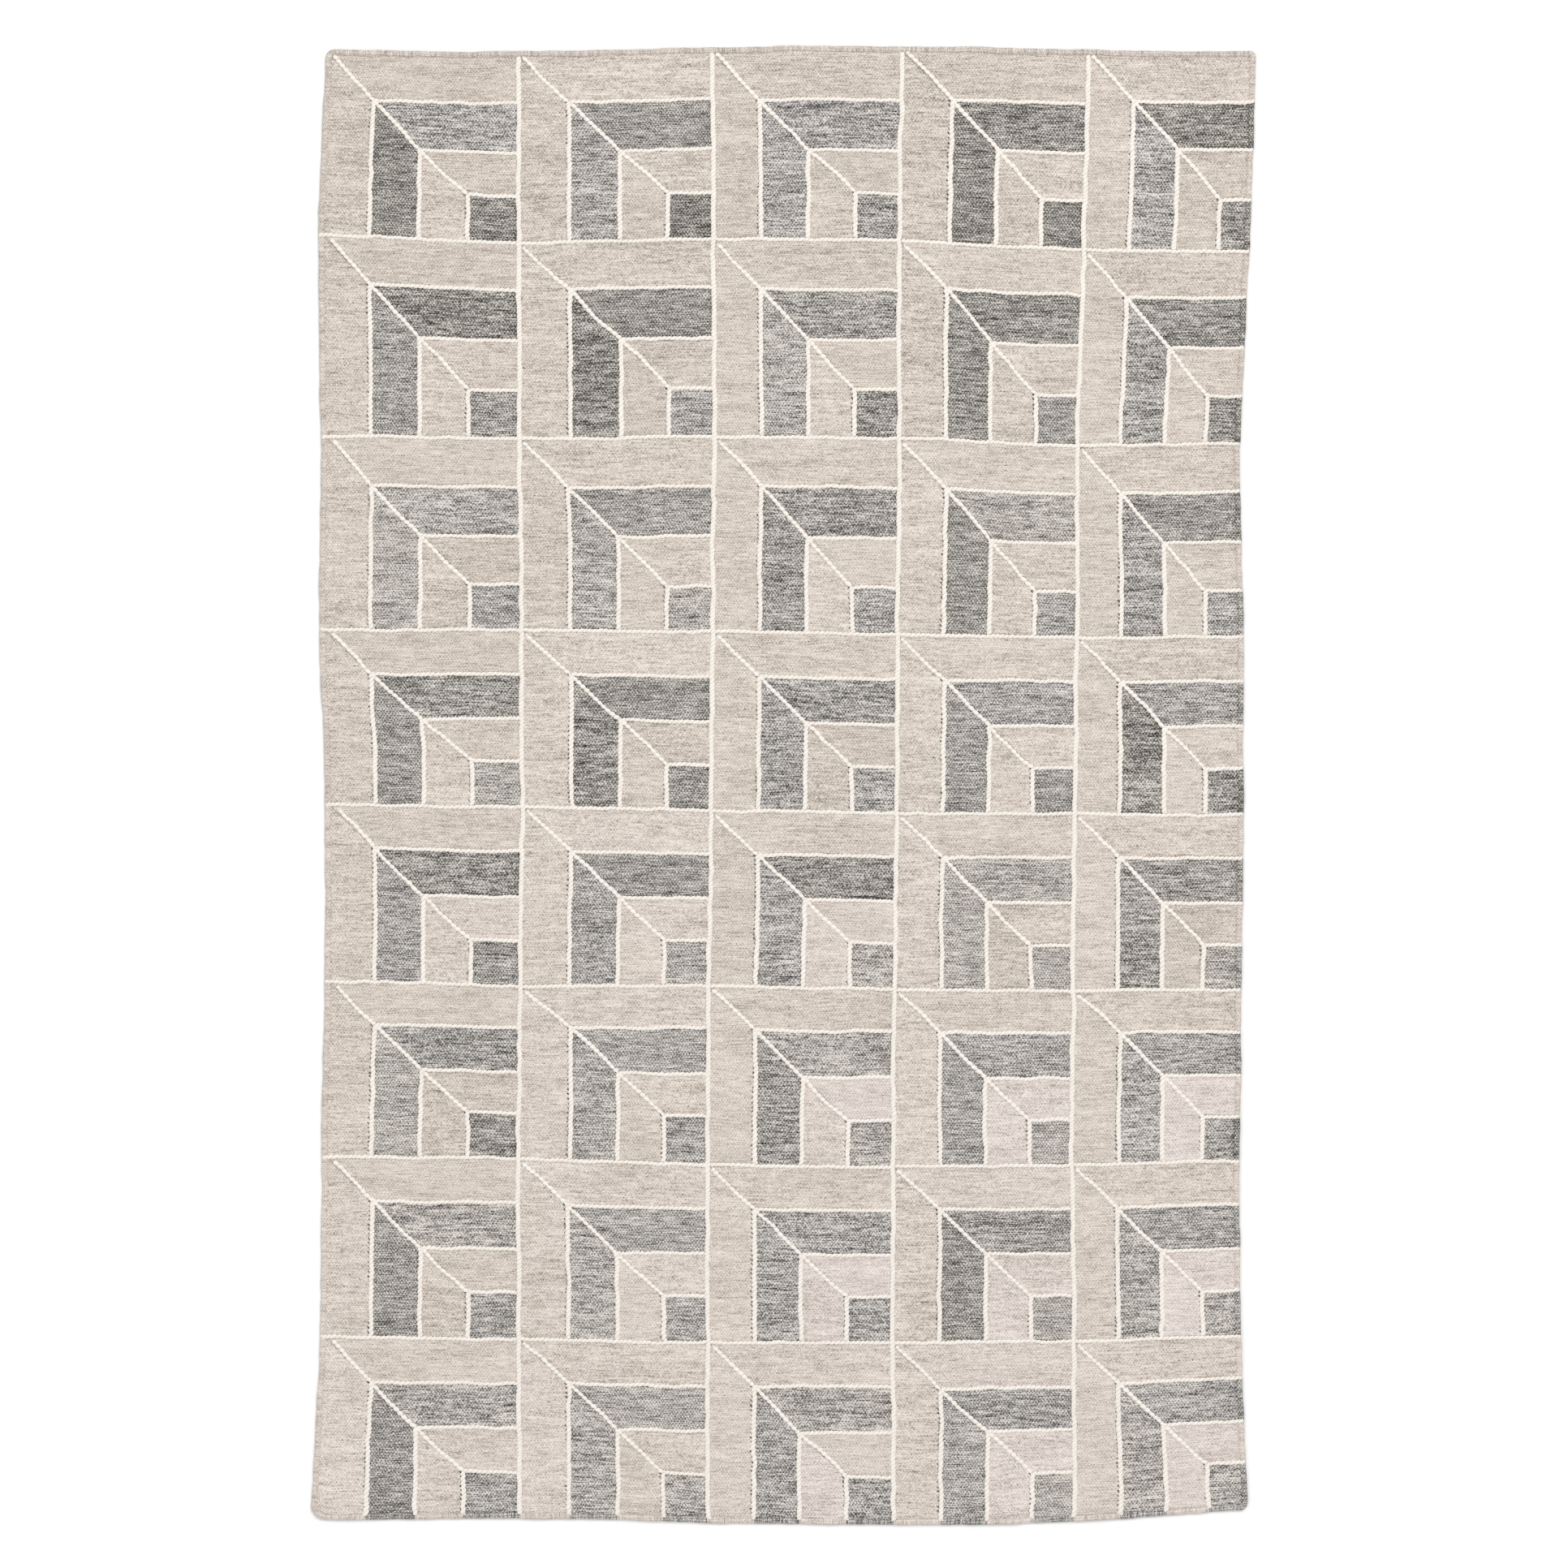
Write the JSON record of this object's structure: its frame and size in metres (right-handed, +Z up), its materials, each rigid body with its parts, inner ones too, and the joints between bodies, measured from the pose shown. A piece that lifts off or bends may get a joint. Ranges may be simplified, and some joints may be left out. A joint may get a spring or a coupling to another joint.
{
  "type": "area rug",
  "caption": "Rectangular hand-woven wool area rug with nested right-angle bands in beige and mottled grey, outlined by raised off-white cords.",
  "frame": {"origin": "centre of the underside, on the floor", "axes": "+X across the rug to the right, +Y along its length to the far end, +Z up out of the face"},
  "size_m": [1.524, 2.438, 0.007],
  "materials": {
    "beige_wool": "weft-faced plain weave of undyed heathered beige wool, fully matte",
    "grey_wool": "weft-faced plain weave of mottled grey wool, dark and pale fibres spun together, fully matte",
    "off_white_wool": "plied off-white wool cord wrapped in slanting stitches, fully matte",
    "natural_cotton": "undyed twisted cotton yarn, inside the weave"
  },
  "bodies": {
    "root": {"bottom_beige_binding": "beige_wool", "bottom_grey_binding": "grey_wool", "bottom_hem_cord": "natural_cotton", "column_cord_1": "off_white_wool", "column_cord_2": "off_white_wool", "column_cord_3": "off_white_wool", "column_cord_4": "off_white_wool", "cotton_warp": "natural_cotton", "grey_bands_column_1": "grey_wool", "grey_bands_column_2": "grey_wool", "grey_bands_column_3": "grey_wool", "grey_bands_column_4": "grey_wool", "grey_bands_column_5": "grey_wool", "grey_squares_column_1": "grey_wool", "grey_squares_column_2": "grey_wool", "grey_squares_column_3": "grey_wool", "grey_squares_column_4": "grey_wool", "grey_squares_column_5": "grey_wool", "inner_beige_bands_column_1": "beige_wool", "inner_beige_bands_column_2": "beige_wool", "inner_beige_bands_column_3": "beige_wool", "inner_beige_bands_column_4": "beige_wool", "inner_beige_bands_column_5": "beige_wool", "left_selvedge_core": "natural_cotton", "left_selvedge_wrap": "beige_wool", "mitre_cords_column_1": "off_white_wool", "mitre_cords_column_2": "off_white_wool", "mitre_cords_column_3": "off_white_wool", "mitre_cords_column_4": "off_white_wool", "mitre_cords_column_5": "off_white_wool", "outer_beige_bands_column_1": "beige_wool", "outer_beige_bands_column_2": "beige_wool", "outer_beige_bands_column_3": "beige_wool", "outer_beige_bands_column_4": "beige_wool", "outer_beige_bands_column_5": "beige_wool", "outline_cords_column_1": "off_white_wool", "outline_cords_column_2": "off_white_wool", "outline_cords_column_3": "off_white_wool", "outline_cords_column_4": "off_white_wool", "outline_cords_column_5": "off_white_wool", "right_selvedge_beige_wrap": "beige_wool", "right_selvedge_core": "natural_cotton", "right_selvedge_grey_wrap": "grey_wool", "row_cord_1": "off_white_wool", "row_cord_2": "off_white_wool", "row_cord_3": "off_white_wool", "row_cord_4": "off_white_wool", "row_cord_5": "off_white_wool", "row_cord_6": "off_white_wool", "row_cord_7": "off_white_wool", "top_binding": "beige_wool", "top_hem_cord": "natural_cotton"}
  },
  "joints": []
}
